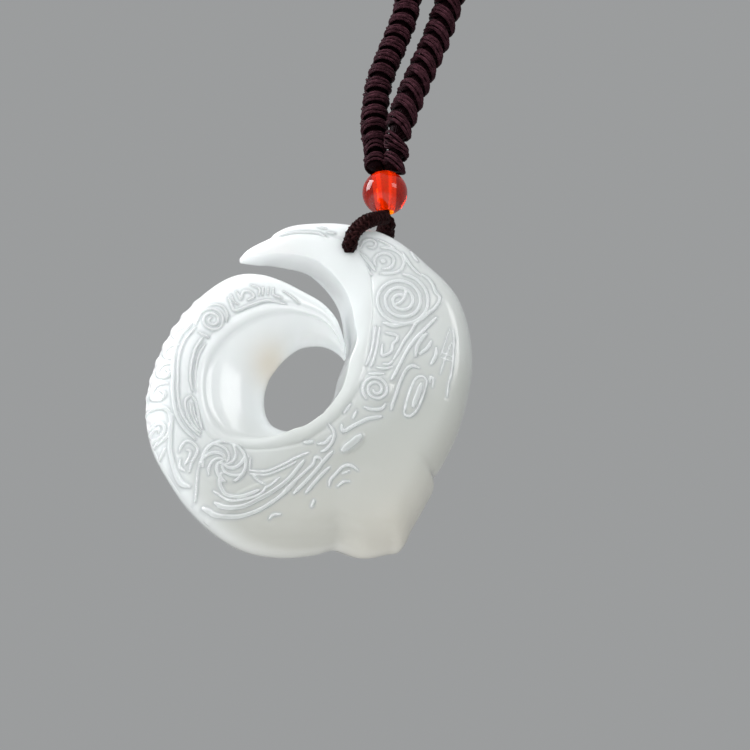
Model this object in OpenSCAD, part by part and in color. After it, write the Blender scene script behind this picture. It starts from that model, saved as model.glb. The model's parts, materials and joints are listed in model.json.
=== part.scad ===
// White jade carving on a knotted cord necklace.
// Sizes are millimetres. +Z is up and the carved front looks towards -Y.
// The origin is where the cord loop bears on the back of the neck, and everything else hangs below it.

/* [Carving] */
// Reach of the carving from the middle of its opening to its right side
reach = 25; // [20:0.5:30]
// Thickness of the carving where it is thickest
thick = 11.6; // [9:0.2:13]
// Radius of the drilled hole for the thread
thread_hole_r = 1.5; // [1.4:0.05:1.8]
// Depth of the groove along the border band
groove_h = 0.3; // [0.1:0.05:0.5]
// Height of the raised forms on the carved field
relief_h = 0.3; // [0.15:0.05:0.45]

/* [Bead] */
// Diameter of the bead
bead_d = 6.4; // [5.6:0.1:7.5]
// Diameter of the bead's bore
bore_d = 2.1; // [2.1:0.05:2.6]

/* [Thread] */
// Diameter of the braided thread through the carving
thread_d = 2; // [1.6:0.05:2.2]
// Rise from the drilled hole to the middle of the bead
bead_rise = 11.1; // [10:0.1:14]
// Distance of the bead to the right of the drilled hole
bead_shift = 3.8; // [3:0.1:4.5]

/* [Necklace cord] */
// Diameter of the knotted cord
cord_d = 4.5; // [3.5:0.1:5]
// Length of the joining sleeve at the nape
sleeve_l = 16; // [12:1:24]
// Diameter of the joining sleeve
sleeve_d = 5.8; // [5.4:0.1:7]

/* [Hidden] */

// Clearance between two pieces that seat on each other
seat_gap = 0.1;
// Clearance between the thread and the faces of the carving
leg_gap = 0.2;
// Turn about the drilled hole that brings the carving's weight under it
hang_turn = 1.95;

// The bead hangs this far below the nape, with the two cord halves starting just above it
bead_top_z = -226;
bead_tilt = 14;
bead_c = [0.8, 0, bead_top_z - bead_d / 2];
// Drilled hole of the carving
hole_c = bead_c - [
    bead_shift * cos(hang_turn) + bead_rise * sin(hang_turn), 0,
    bead_rise * cos(hang_turn) - bead_shift * sin(hang_turn)];
// Middle of the carving's opening, from the drilled hole
open_c = [-0.064, -0.868] * reach;

// One row for each section of the spiral arm, from the beak clockwise round to the horn's tip.
// Radii from the middle of the opening and the rounding are shares of the reach, the face is a share of the thickness.
ANG = 0;    // direction of the section, degrees, from +X towards +Z
OUT = 1;    // outer edge
HOLE = 2;   // inner edge, along the slot and the opening
LIP = 3;    // where the border band starts
PEAK = 4;   // where the smooth inner slope would reach its full height
FIELD = 5;  // where the border band ends and the carved field starts
FACE = 6;   // half thickness at the field
ROUND = 7;  // width of the rounded outer edge
sections = [
    //ANG     OUT    HOLE   LIP    PEAK   FIELD  FACE   ROUND
    [125.5,   0.870, 0.850, 0.854, 0.854, 0.860, 0.065, 0.008],
    [122.5,   0.894, 0.836, 0.848, 0.848, 0.860, 0.155, 0.028],
    [118,     0.912, 0.818, 0.830, 0.830, 0.868, 0.215, 0.040],
    [113.4,   0.928, 0.808, 0.820, 0.820, 0.888, 0.250, 0.036],
    [112,     0.950, 0.804, 0.816, 0.816, 0.894, 0.260, 0.052],
    [106.5,   0.988, 0.788, 0.800, 0.800, 0.912, 0.285, 0.072],
    [98,      1.016, 0.762, 0.774, 0.774, 0.912, 0.300, 0.096],
    [90,      1.044, 0.702, 0.714, 0.714, 0.896, 0.310, 0.120],
    [82,      1.064, 0.630, 0.642, 0.642, 0.860, 0.325, 0.128],
    [76,      1.076, 0.562, 0.574, 0.574, 0.790, 0.350, 0.136],
    [69,      1.072, 0.480, 0.492, 0.492, 0.650, 0.390, 0.144],
    [60,      1.060, 0.404, 0.416, 0.416, 0.518, 0.425, 0.152],
    [52,      1.066, 0.310, 0.322, 0.322, 0.432, 0.450, 0.160],
    [45,      1.060, 0.260, 0.272, 0.272, 0.380, 0.465, 0.160],
    [28,      0.990, 0.204, 0.216, 0.216, 0.304, 0.490, 0.168],
    [8,       0.904, 0.168, 0.180, 0.180, 0.248, 0.500, 0.176],
    [-8,      0.864, 0.150, 0.162, 0.162, 0.224, 0.500, 0.184],
    [-17,     0.850, 0.146, 0.158, 0.158, 0.218, 0.495, 0.188],
    [-20,     0.836, 0.145, 0.157, 0.157, 0.216, 0.490, 0.188],
    [-23.5,   0.880, 0.145, 0.157, 0.157, 0.216, 0.485, 0.196],
    [-30,     0.902, 0.145, 0.157, 0.157, 0.216, 0.475, 0.204],
    [-39,     0.946, 0.147, 0.159, 0.159, 0.217, 0.460, 0.208],
    [-46,     1.004, 0.152, 0.164, 0.164, 0.220, 0.450, 0.208],
    [-50,     0.986, 0.156, 0.168, 0.168, 0.224, 0.455, 0.204],
    [-58,     0.952, 0.162, 0.174, 0.174, 0.232, 0.470, 0.200],
    [-66,     0.874, 0.170, 0.184, 0.186, 0.246, 0.485, 0.196],
    [-73,     0.886, 0.178, 0.196, 0.212, 0.264, 0.495, 0.196],
    [-87,     0.916, 0.202, 0.232, 0.310, 0.310, 0.500, 0.196],
    [-99,     0.932, 0.220, 0.268, 0.440, 0.352, 0.500, 0.196],
    [-112,    0.918, 0.236, 0.352, 0.560, 0.424, 0.500, 0.192],
    [-124,    0.900, 0.246, 0.448, 0.600, 0.512, 0.495, 0.184],
    [-135,    0.886, 0.240, 0.532, 0.604, 0.596, 0.490, 0.176],
    [-148,    0.886, 0.228, 0.564, 0.610, 0.620, 0.480, 0.168],
    [-163,    0.868, 0.216, 0.566, 0.608, 0.622, 0.470, 0.168],
    [-180,    0.828, 0.208, 0.554, 0.594, 0.610, 0.455, 0.160],
    [-195,    0.808, 0.208, 0.528, 0.566, 0.582, 0.440, 0.156],
    [-212,    0.794, 0.212, 0.494, 0.530, 0.548, 0.420, 0.156],
    [-228,    0.782, 0.228, 0.472, 0.504, 0.522, 0.395, 0.156],
    [-238,    0.738, 0.244, 0.460, 0.490, 0.506, 0.370, 0.148],
    [-247,    0.676, 0.264, 0.452, 0.476, 0.488, 0.340, 0.132],
    [-257,    0.612, 0.288, 0.444, 0.460, 0.468, 0.300, 0.116],
    [-270,    0.556, 0.312, 0.432, 0.442, 0.448, 0.250, 0.100],
    [-280,    0.500, 0.328, 0.408, 0.414, 0.418, 0.200, 0.076],
    [-289,    0.436, 0.334, 0.376, 0.380, 0.384, 0.145, 0.050],
    [-298,    0.380, 0.332, 0.352, 0.354, 0.356, 0.085, 0.022],
    [-304,    0.338, 0.326, 0.331, 0.332, 0.333, 0.025, 0.004],
];

// Value and slope of one column, a smooth curve through the rows
function column_slope(i, c) =
    let (a = max(i - 1, 0), b = min(i + 1, len(sections) - 1))
    (sections[b][c] - sections[a][c]) / (sections[b][ANG] - sections[a][ANG]);
function blend_column(i, t, c) =
    let (
        span = sections[i + 1][ANG] - sections[i][ANG],
        p = sections[i][c], q = sections[i + 1][c],
        u = column_slope(i, c) * span, v = column_slope(i + 1, c) * span
    )
    p + t * (u + t * (3 * (q - p) - 2 * u - v + t * (2 * (p - q) + u + v)));
function section_at(i, t) = [for (c = [ANG:ROUND]) blend_column(i, t, c)];
function row_of(angle, i = 0) =
    i >= len(sections) - 2 || sections[i + 1][ANG] < angle ? i : row_of(angle, i + 1);
function section_for(angle) =
    let (i = row_of(angle), a = sections[i][ANG], b = sections[i + 1][ANG])
    section_at(i, (angle - a) / (b - a));

// Profile of one section: radius and height of a point, for a place along it.
// The inner slope is part of a quarter ellipse, the border band is nearly flat, the outer edge is a rounded shoulder.
wall_share = 0.93;
shoulder_power = 2.3;
function slope_point(s, t) =
    let (
        run = s[PEAK] - s[HOLE],
        top = acos(max(-1, min(1, (s[PEAK] - s[LIP]) / run))),
        a = top * t
    )
    [reach * (s[PEAK] - run * cos(a)), thick * s[FACE] * wall_share * sin(a)];
function border_point(s, t) =
    [reach * (s[LIP] + (s[FIELD] - s[LIP]) * t),
     thick * s[FACE] * (wall_share + (1 - wall_share) * sin(90 * t))];
function field_point(s, t) =
    let (start = s[FIELD], end = s[OUT] - s[ROUND])
    [reach * (start + (max(end, start) - start) * t), thick * s[FACE]];
function shoulder_point(s, t) =
    let (start = max(s[OUT] - s[ROUND], s[FIELD]))
    [reach * (start + (s[OUT] - start) * t),
     thick * s[FACE] * pow(max(0, 1 - pow(t, shoulder_power)), 1 / shoulder_power)];

// Places along the front profile, from the inner edge to the outer edge
slope_steps = [0, 0.12, 0.28, 0.48, 0.72, 1];
border_steps = [0.04, 0.3, 0.65, 0.9];
groove_step = 0.08;
field_steps = [for (k = [0:12]) 0.16 + 0.07 * k];
shoulder_steps = [0.35, 0.6, 0.8, 0.94, 1];
function front_profile(s) =
    let (groove = min(groove_h, thick * s[FACE] * 0.08))
    concat(
        [for (t = slope_steps) slope_point(s, t)],
        [for (t = border_steps) border_point(s, t)],
        [field_point(s, groove_step) - [0, groove]],
        [for (t = field_steps) field_point(s, t)],
        [for (t = shoulder_steps) shoulder_point(s, t)]);
// The back is the same form, finished plainly
function back_profile(s) = concat(
    [for (t = [0.94, 0.7, 0.35]) shoulder_point(s, t)],
    [field_point(s, 0.9), border_point(s, 0.8), border_point(s, 0.05)],
    [for (t = [1, 0.6, 0.25]) slope_point(s, t)]);

// Raised forms of the carved field: low mounds with a flat top, which carry the scrolls and leaves.
// Places and half sizes are shares of the reach, and the turn is that of the long side.
MID_X = 0;
MID_Z = 1;
LONG = 2;
SHORT = 3;
TURN = 4;
mounds = [
    //MID_X  MID_Z   LONG   SHORT  TURN
    [0.402,  0.620,  0.180, 0.180, 0],    // large scroll
    [0.362,  0.075,  0.088, 0.088, 0],    // small scroll
    [-0.366, -0.536, 0.125, 0.125, 0],    // whirl
    [-0.590, 0.244,  0.080, 0.080, 0],    // scroll of the left side
    [0.585,  0.088,  0.120, 0.040, 80],   // tongue
    [0.490,  0.300,  0.210, 0.040, 68],   // long sweep
    [0.292,  -0.262, 0.085, 0.036, 53],   // leaf under the opening
    [-0.200, -0.690, 0.240, 0.040, 40],   // long feather
];
function mound_height(m, x, z) =
    let (
        u = x / reach - m[MID_X], v = z / reach - m[MID_Z],
        along = u * cos(m[TURN]) + v * sin(m[TURN]), across = v * cos(m[TURN]) - u * sin(m[TURN]),
        d = norm([along / m[LONG], across / m[SHORT]]),
        t = max(0, min(1, (1.15 - d) / 0.4))
    )
    relief_h * t * t * (3 - 2 * t);
function relief_at(x, z) = max([for (m = mounds) mound_height(m, x, z)]);

// A point of the carving from its direction, radius and height over the middle plane
function carving_point(angle, r, y) =
    [open_c[0] + r * cos(angle), y, open_c[1] + r * sin(angle)];
function section_ring(s) = concat(
    [for (p = front_profile(s))
        let (raised = p[0] < reach * s[FIELD] ? 0 : relief_at(p[0] * cos(s[ANG]), p[0] * sin(s[ANG])))
        carving_point(s[ANG], p[0], -p[1] - raised)],
    [for (p = back_profile(s)) carving_point(s[ANG], p[0], p[1])]);

// Rings at an even pitch in degrees, closer where the field is carved, and at least one for each row
ring_pitch = 4.2;
fine_pitch = 2.6;
function pitch_at(angle) = angle < 90 && angle > -240 ? fine_pitch : ring_pitch;
rings = concat(
    [for (i = [0:len(sections) - 2])
        let (n = max(1, round((sections[i][ANG] - sections[i + 1][ANG]) / pitch_at(sections[i + 1][ANG]))))
        for (k = [0:n - 1]) section_at(i, k / n)],
    [sections[len(sections) - 1]]);

// A closed sweep through rings of points that all have the same count.
// The corners of a ring run anticlockwise as seen looking the way of travel.
module sweep(ring_points) {
    m = len(ring_points[0]);
    n = len(ring_points);
    points = [for (ring = ring_points) each ring];
    sides = [for (i = [0:n - 2], j = [0:m - 1])
        let (a = i * m + j, b = i * m + (j + 1) % m, c = b + m, d = a + m)
        each [[a, b, c], [a, c, d]]];
    first = [for (j = [m - 1:-1:0]) j];
    last = [for (j = [0:m - 1]) (n - 1) * m + j];
    polyhedron(points, concat([first], sides, [last]), convexity = 10);
}

// What hangs from the cords is drawn from the drilled hole
module hung() {
    translate(hole_c)
    rotate([0, hang_turn, 0])
    children();
}

module jade_carving() {
    color("honeydew")
    hung()
    difference() {
        sweep([for (s = rings) section_ring(s)]);
        rotate([90, 0, 0]) cylinder(r = thread_hole_r, h = 2 * thick, center = true, $fn = 48);
    }
}

// Ring of a tube, square to the direction of travel. The first corner looks the way that ref does.
tube_sides = 8;
function unit(v) = v / norm(v);
function tube_ring(p, travel, ref, r) =
    let (t = unit(travel), u = unit(ref - (ref * t) * t), v = cross(u, t))
    [for (k = [0:tube_sides - 1])
        let (a = 360 / tube_sides * (k + 0.5))
        p + r * (u * cos(a) + v * sin(a))];
function travel_at(path, i) =
    let (
        n = len(path),
        before = i > 0 ? unit(path[i] - path[i - 1]) : [0, 0, 0],
        after = i < n - 1 ? unit(path[i + 1] - path[i]) : [0, 0, 0]
    )
    before + after;
module tube(path, radii, ref) {
    sweep([for (i = [0:len(path) - 1]) tube_ring(path[i], travel_at(path, i), ref, radii[i])]);
}

// The thread goes through the drilled hole, round both faces of the carving and up through the bead.
// Both its ends are squeezed side by side into the bore.
hole_face = thick * section_for(atan2(-open_c[1], -open_c[0]))[FACE];
thread_r = thread_d / 2;
leg_y = hole_face + thread_r + leg_gap;
end_r = bore_d / 4 - 0.1;
end_shift = end_r + 0.04;
thread_rise = thread_hole_r - thread_r - 0.2;
bead_axis = [-sin(bead_tilt), 0, cos(bead_tilt)];
mouth_reach = sqrt(pow(bead_d / 2, 2) - pow(bore_d / 2, 2));
bead_low = [bead_shift, 0, bead_rise] - mouth_reach * bead_axis;
bead_high = [bead_shift, 0, bead_rise] + mouth_reach * bead_axis;
// Columns are the place from the drilled hole and the radius as a share of the thread's
front_leg = [
    [[bead_high[0], -end_shift, bead_high[2]], end_r / thread_r],
    [[bead_low[0], -end_shift, bead_low[2]], end_r / thread_r],
    [[bead_low[0] - 0.35, -0.85, bead_low[2] - 0.95], 0.5],
    [[3.8, -2.1, 6.5], 0.84],
    [[3, -leg_y + 1.5, 5.6], 0.95],
    [[2.1, -leg_y + 0.6, 4.7], 1],
    [[1.2, -leg_y + 0.1, 3.8], 1],
    [[0.4, -leg_y, 2.6], 1],
    [[0, -leg_y, 1.6], 1],
    [[0, -leg_y + 0.3, 0.8], 1],
    [[0, -leg_y + 1.3, thread_rise], 1],
];
back_leg = [
    [[0, leg_y - 1.3, thread_rise], 1],
    [[0.2, leg_y - 0.3, 0.75], 1],
    [[0.7, leg_y, 1.2], 1],
    [[1.8, leg_y + 0.1, 1.8], 1],
    [[3.2, leg_y + 0.25, 2.6], 1],
    [[4.6, leg_y + 0.3, 3.7], 1],
    [[5.6, leg_y + 0.1, 4.9], 1],
    [[5.9, leg_y - 0.6, 5.9], 1],
    [[5.8, 3.1, 6.5], 0.97],
    [[5.5, 2, 6.8], 0.85],
    [[bead_low[0] + 0.4, 0.95, bead_low[2] - 0.95], 0.5],
    [[bead_low[0], end_shift, bead_low[2]], end_r / thread_r],
    [[bead_high[0], end_shift, bead_high[2]], end_r / thread_r],
];
module pendant_thread() {
    rows = concat(front_leg, back_leg);
    color("maroon")
    hung()
    tube([for (q = rows) q[0]], [for (q = rows) q[1] * thread_r], [1, 0, 0]);
}

module agate_bead() {
    color("firebrick")
    hung()
    translate([bead_shift, 0, bead_rise])
    rotate([0, -bead_tilt, 0])
    difference() {
        sphere(d = bead_d, $fn = 48);
        cylinder(d = bore_d, h = 2 * bead_d, center = true, $fn = 48);
    }
}

// Routes of the two cord halves, from just above the bead up to the nape, which they reach face to face with the sleeve.
// Columns are the place from the origin and the radius as a share of the cord's.
nape_end = sleeve_l / 2 + seat_gap;
left_route = [
    [[-1.1, 0.35, -225.85], 0.51],
    [[-1.2, 0.7, -224.5], 0.59],
    [[-1.4, 1.1, -223], 0.71],
    [[-1.5, 1.5, -221.5], 0.89],
    [[-2, 1.5, -219.1], 1],
    [[-2.4, 1.2, -215.4], 1],
    [[-2.5, 0.9, -212.3], 1],
    [[-2, 0.8, -209], 1],
    [[-1.3, 0.7, -205.6], 1],
    [[-0.5, 0.5, -200.1], 1],
    [[-1.6, 0.2, -190], 1],
    [[-5, 0, -178], 1],
    [[-10.8, 0, -166.5], 1],
    [[-18.5, 0, -155.5], 1],
    [[-27, 0, -145], 1],
    [[-36.3, 0, -134.5], 1],
    [[-45, 0, -124], 1],
    [[-53, 0, -113], 1],
    [[-60, 0, -101.5], 1],
    [[-66, 0, -89.5], 1],
    [[-70.5, 0, -77], 1],
    [[-73.5, 0, -64], 1],
    [[-74.5, 0, -51], 1],
    [[-73, 0, -38], 1],
    [[-68.5, 0, -26], 1],
    [[-61.5, 0, -15.5], 1],
    [[-51.5, 0, -7], 1],
    [[-40, 0, -1.5], 1],
    [[-27.5, 0, 1.5], 1],
    [[-17.5, 0, 2.7], 1],
    [[-nape_end, 0, sleeve_d / 2], 1],
];
right_route = [
    [[1.35, -0.35, -225.85], 0.51],
    [[1.3, -0.7, -224.5], 0.59],
    [[1.3, -1.1, -223], 0.71],
    [[1.4, -1.5, -221.4], 0.89],
    [[1.7, -1.5, -218.7], 1],
    [[2.4, -1.2, -214.8], 1],
    [[3, -0.9, -211.5], 1],
    [[3.6, -0.8, -208.1], 1],
    [[4.2, -0.7, -204.8], 1],
    [[5.2, -0.5, -198.9], 1],
    [[6.6, -0.2, -189], 1],
    [[9.8, 0, -177.5], 1],
    [[15, 0, -166.5], 1],
    [[22, 0, -155.5], 1],
    [[30, 0, -145], 1],
    [[38.3, 0, -134.5], 1],
    [[46.5, 0, -124], 1],
    [[54, 0, -113], 1],
    [[61, 0, -101.5], 1],
    [[66.5, 0, -89.5], 1],
    [[71, 0, -77], 1],
    [[73.5, 0, -64], 1],
    [[74.5, 0, -51], 1],
    [[73, 0, -38], 1],
    [[68.5, 0, -26], 1],
    [[61.5, 0, -15.5], 1],
    [[51.5, 0, -7], 1],
    [[40, 0, -1.5], 1],
    [[27.5, 0, 1.5], 1],
    [[17.5, 0, 2.7], 1],
    [[nape_end, 0, sleeve_d / 2], 1],
];
module cord(route) {
    tube([for (q = route) q[0]], [for (q = route) q[1] * cord_d / 2], [0, 1, 0]);
}
module cord_left() {
    color("saddlebrown") cord(left_route);
}
module cord_right() {
    color("sienna") cord(right_route);
}

// Plain sleeve that joins the two halves, with its underside at the origin
sleeve_chamfer = 0.8;
module nape_binding() {
    color("black")
    translate([0, 0, sleeve_d / 2])
    rotate([0, 90, 0])
    rotate_extrude($fn = 48)
    polygon([
        [0, -sleeve_l / 2], [sleeve_d / 2 - sleeve_chamfer, -sleeve_l / 2],
        [sleeve_d / 2, sleeve_chamfer - sleeve_l / 2], [sleeve_d / 2, sleeve_l / 2 - sleeve_chamfer],
        [sleeve_d / 2 - sleeve_chamfer, sleeve_l / 2], [0, sleeve_l / 2],
    ]);
}

jade_carving();
pendant_thread();
agate_bead();
cord_left();
cord_right();
nape_binding();
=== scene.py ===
"""Looks of the jade pendant on its knotted cord necklace.

Lengths named here are millimetres unless a name ends in _M. Everything is drawn in the frame's own axes.
"""
import json
import math

import bpy
import numpy as np
from mathutils import Matrix, Vector


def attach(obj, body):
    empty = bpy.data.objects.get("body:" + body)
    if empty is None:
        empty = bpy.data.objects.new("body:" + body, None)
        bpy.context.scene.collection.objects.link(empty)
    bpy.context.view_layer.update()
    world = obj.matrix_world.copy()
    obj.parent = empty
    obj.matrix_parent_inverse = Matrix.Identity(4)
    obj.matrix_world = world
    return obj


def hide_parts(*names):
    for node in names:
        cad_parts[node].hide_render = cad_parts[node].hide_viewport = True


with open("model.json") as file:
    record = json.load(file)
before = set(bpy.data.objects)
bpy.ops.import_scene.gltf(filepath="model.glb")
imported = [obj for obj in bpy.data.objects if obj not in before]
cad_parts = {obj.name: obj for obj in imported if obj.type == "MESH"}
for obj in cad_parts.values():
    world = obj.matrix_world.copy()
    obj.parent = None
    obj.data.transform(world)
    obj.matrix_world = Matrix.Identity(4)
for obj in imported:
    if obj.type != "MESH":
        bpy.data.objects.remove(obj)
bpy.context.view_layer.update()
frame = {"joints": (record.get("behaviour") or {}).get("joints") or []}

MM = 0.001
rng = np.random.default_rng(8)

# The hinge runs through the drilled hole. What hangs from it is turned so that its weight is under it.
PIVOT = np.array(frame["joints"][0]["pos_m"]) / MM
HANG_TURN = math.radians(1.95)

# Camera, as the photograph shows the carving
FOCAL_PX = 3258.0
IMAGE_PX = 750.0
CAMERA_DISTANCE = 453.0
CAMERA_AZIMUTH = math.radians(-7)
CAMERA_ELEVATION = math.radians(-20)
CAMERA_ROLL = math.radians(11.5)
HOLE_FRONT = np.array([0, -3.3, 0])
HOLE_PX = np.array([348.2, 249.6])


def hung(points):
    """Millimetre points drawn from the drilled hole, placed in the frame in millimetres."""
    p = np.asarray(points, float)
    c, s = math.cos(HANG_TURN), math.sin(HANG_TURN)
    return np.stack([p[..., 0] * c + p[..., 2] * s, p[..., 1], p[..., 2] * c - p[..., 0] * s], -1) + PIVOT


def unit(v):
    v = np.asarray(v, float)
    return v / np.linalg.norm(v, axis=-1, keepdims=True)


def camera_axes():
    """Right, up and backward axes of the camera in the frame."""
    a, e, r = CAMERA_AZIMUTH, CAMERA_ELEVATION, CAMERA_ROLL
    back = np.array([math.sin(a) * math.cos(e), -math.cos(a) * math.cos(e), math.sin(e)])
    level = np.array([math.cos(a), math.sin(a), 0])
    rise = np.cross(level, -back)
    right = math.cos(r) * level + math.sin(r) * rise
    up = math.cos(r) * rise - math.sin(r) * level
    return [hung(v) - PIVOT for v in (right, up, back)]


def make_camera():
    right, up, back = camera_axes()
    offset = (HOLE_PX - IMAGE_PX / 2) / FOCAL_PX * CAMERA_DISTANCE
    place = hung(HOLE_FRONT) + back * CAMERA_DISTANCE - right * offset[0] + up * offset[1]
    data = bpy.data.cameras.new("camera")
    data.angle = 2 * math.atan(IMAGE_PX / 2 / FOCAL_PX)
    camera = make_object("camera", data)
    axes = Matrix([[right[k], up[k], back[k]] for k in range(3)]).to_4x4()
    camera.matrix_world = Matrix.Translation(Vector(place * MM)) @ axes
    bpy.context.scene.camera = camera


# Meshes

def make_object(name, mesh):
    thing = bpy.data.objects.new(name, mesh)
    bpy.context.scene.collection.objects.link(thing)
    return thing


def add_mesh(name, points, faces, uv=None, values=None):
    """A smooth mesh object from millimetre points and the corners of its faces."""
    mesh = bpy.data.meshes.new(name)
    mesh.from_pydata((points * MM).tolist(), [], faces if isinstance(faces, list) else faces.tolist())
    mesh.shade_smooth()
    if uv is not None:
        layer = mesh.uv_layers.new(name="UVMap")
        layer.data.foreach_set("uv", uv[faces.ravel()].astype(np.float32).ravel())
    for key, value in (values or {}).items():
        mesh.attributes.new(key, "FLOAT", "POINT").data.foreach_set("value", value.astype(np.float32))
    return make_object(name, mesh)


def dress(thing, body, slot, material, *nodes):
    """Gives a piece its material and its body, and hides the CAD nodes that it stands for."""
    thing.data.materials.clear()
    thing.data.materials.append(material)
    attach(thing, body)
    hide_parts(*nodes)
    return thing


def full_turn(count):
    """Even angles once round a circle."""
    return np.arange(count) * 2 * math.pi / count


def grid_faces(rows, columns, closed_rows=False):
    """Quads between rows of points that each close on themselves."""
    i = np.arange(rows if closed_rows else rows - 1)[:, None]
    j = np.arange(columns)[None, :]
    below, beside = (i + 1) % rows, (j + 1) % columns
    a, b = i * columns + j, i * columns + beside
    c, d = below * columns + beside, below * columns + j
    return np.stack([a, b, c, d], -1).reshape(-1, 4)


def tubes(paths, radii, ref, sides, closed=False):
    """Round tubes along several paths that have the same count of points.

    paths is (tube, point, 3), radii is (tube, point), and ref is the first corner's direction.
    """
    paths, radii = np.asarray(paths, float), np.asarray(radii, float)
    tube_count, n = paths.shape[:2]
    along = unit(np.roll(paths, -1, 1) - np.roll(paths, 1, 1) if closed else np.gradient(paths, axis=1))
    ref = np.broadcast_to(ref, paths.shape)
    first = unit(ref - (ref * along).sum(-1, keepdims=True) * along)
    second = np.cross(along, first)
    angle = full_turn(sides)
    ring = np.cos(angle)[:, None] * first[:, :, None] + np.sin(angle)[:, None] * second[:, :, None]
    points = paths[:, :, None] + radii[:, :, None, None] * ring
    one = grid_faces(n, sides, closed)
    faces = (one[None] + (np.arange(tube_count) * n * sides)[:, None, None]).reshape(-1, 4)
    step = np.linalg.norm(np.diff(paths, axis=1), axis=-1)
    run = np.concatenate([np.zeros((tube_count, 1)), np.cumsum(step, 1)], 1)
    uv = np.stack([np.broadcast_to(run[:, :, None], points.shape[:3]),
                   np.broadcast_to(np.arange(sides) / sides, points.shape[:3])], -1)
    return points.reshape(-1, 3), faces, uv.reshape(-1, 2)


CAP_STEP = 0.02
CAP_R = 0.01


def capped(paths, radii):
    """Tube paths with one more point at either end, where the tube closes."""
    paths, radii = np.asarray(paths, float), np.asarray(radii, float)
    first = paths[:, :1] - CAP_STEP * unit(paths[:, 1:2] - paths[:, :1])
    last = paths[:, -1:] + CAP_STEP * unit(paths[:, -1:] - paths[:, -2:-1])
    none = np.full((len(paths), 1), CAP_R)
    return np.concatenate([first, paths, last], 1), np.concatenate([none, radii, none], 1)


def join_parts(parts):
    """Several lists of points, faces, uv and how far each point stands out as one, as add_mesh takes them."""
    points, faces, uv, proud, start = [], [], [], [], 0
    for p, f, t, out in parts:
        points.append(p)
        faces.append(f + start)
        uv.append(t)
        proud.append(np.broadcast_to(out, len(p)))
        start += len(p)
    return np.concatenate(points), np.concatenate(faces), np.concatenate(uv), {"proud": np.concatenate(proud)}


def cubic(rows, slope, i, t, span):
    """Places on a smooth curve through rows, on the stretch that starts at row i."""
    p, q, u, v = rows[i], rows[i + 1], slope[i] * span, slope[i + 1] * span
    return p + t * (u + t * (3 * (q - p) - 2 * u - v + t * (2 * (p - q) + u + v)))


def smooth_path(rows, step):
    """A smooth curve through rows of numbers, sampled about every step along its first three columns."""
    rows = np.asarray(rows, float)
    before = np.vstack([2 * rows[0] - rows[1], rows[:-1]])
    after = np.vstack([rows[1:], 2 * rows[-1] - rows[-2]])
    chord = np.linalg.norm(np.diff(rows[:, :3], axis=0), axis=1)
    knots = np.concatenate([[0], np.cumsum(chord)])
    spans = np.concatenate([chord[:1], chord]) + np.concatenate([chord, chord[-1:]])
    slope = (after - before) / spans[:, None]
    fine = np.linspace(0, knots[-1], 8 * len(rows) + int(knots[-1] / step) * 4)
    i = np.clip(np.searchsorted(knots, fine, side="right") - 1, 0, len(rows) - 2)
    span = (knots[i + 1] - knots[i])[:, None]
    curve = cubic(rows, slope, i, (fine[:, None] - knots[i][:, None]) / span, span)
    run = np.concatenate([[0], np.cumsum(np.linalg.norm(np.diff(curve[:, :3], axis=0), axis=1))])
    even = np.linspace(0, run[-1], max(2, int(round(run[-1] / step)) + 1))
    return np.stack([np.interp(even, run, curve[:, k]) for k in range(curve.shape[1])], 1), even


# Materials

class Look:
    """A material under construction: its nodes, its links and its surface shader."""

    def __init__(self, name):
        self.material = bpy.data.materials.new(name)
        self.material.use_nodes = True
        self.nodes, self.links = self.material.node_tree.nodes, self.material.node_tree.links

    def put(self, value, socket):
        """Links another node's socket in, or sets a plain number or colour."""
        if isinstance(value, bpy.types.NodeSocket):
            self.links.new(value, socket)
        else:
            socket.default_value = (*value, 1) if socket.type == "RGBA" else value

    def make(self, kind, inputs, output, **settings):
        """A node with its settings and inputs, seen as the socket that it gives."""
        made = self.nodes.new("ShaderNode" + kind)
        for key, value in settings.items():
            setattr(made, key, value)
        for key, value in inputs.items():
            self.put(value, made.inputs[key])
        return made.outputs[output]

    def attribute(self, name):
        return self.make("Attribute", {}, "Fac", attribute_name=name)

    def noise(self, scale, detail, roughness=0.5):
        inputs = {"Vector": self.make("TexCoord", {}, "Object"), "Scale": scale, "Detail": detail}
        return self.make("TexNoise", dict(inputs, Roughness=roughness), "Fac")

    def maths(self, operation, *values):
        return self.make("Math", dict(enumerate(values)), "Value", operation=operation)

    def mix(self, factor, first, second):
        return self.make("Mix", {"Factor": factor, "A": first, "B": second}, "Result", data_type="RGBA")

    def spread(self, value, low, high, to_low=0.0, to_high=1.0, smooth=False):
        """A value drawn out from one range to another."""
        inputs = {"Value": value, "From Min": low, "From Max": high, "To Min": to_low, "To Max": to_high}
        kind = "SMOOTHSTEP" if smooth else "LINEAR"
        return self.make("MapRange", inputs, "Result", interpolation_type=kind)

    def ramp(self, factor, stops):
        made = self.nodes.new("ShaderNodeValToRGB")
        elements = made.color_ramp.elements
        while len(elements) < len(stops):
            elements.new(0.5)
        for element, (place, colour) in zip(elements, stops):
            element.position = place
            element.color = (*colour, 1)
        self.put(factor, made.inputs["Fac"])
        return made.outputs["Color"]

    def bump(self, height, strength, distance):
        return self.make("Bump", {"Height": height, "Strength": strength, "Distance": distance}, "Normal")

    def surface(self, **values):
        """Sets the surface shader. A name's words are joined by underscores."""
        for key, value in values.items():
            self.put(value, self.nodes["Principled BSDF"].inputs[key.replace("_", " ")])
        return self.material


# Stone colours from shaded to lit: the ramp between them carries the painted light by place as well as the
# stone's random clouding
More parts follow.
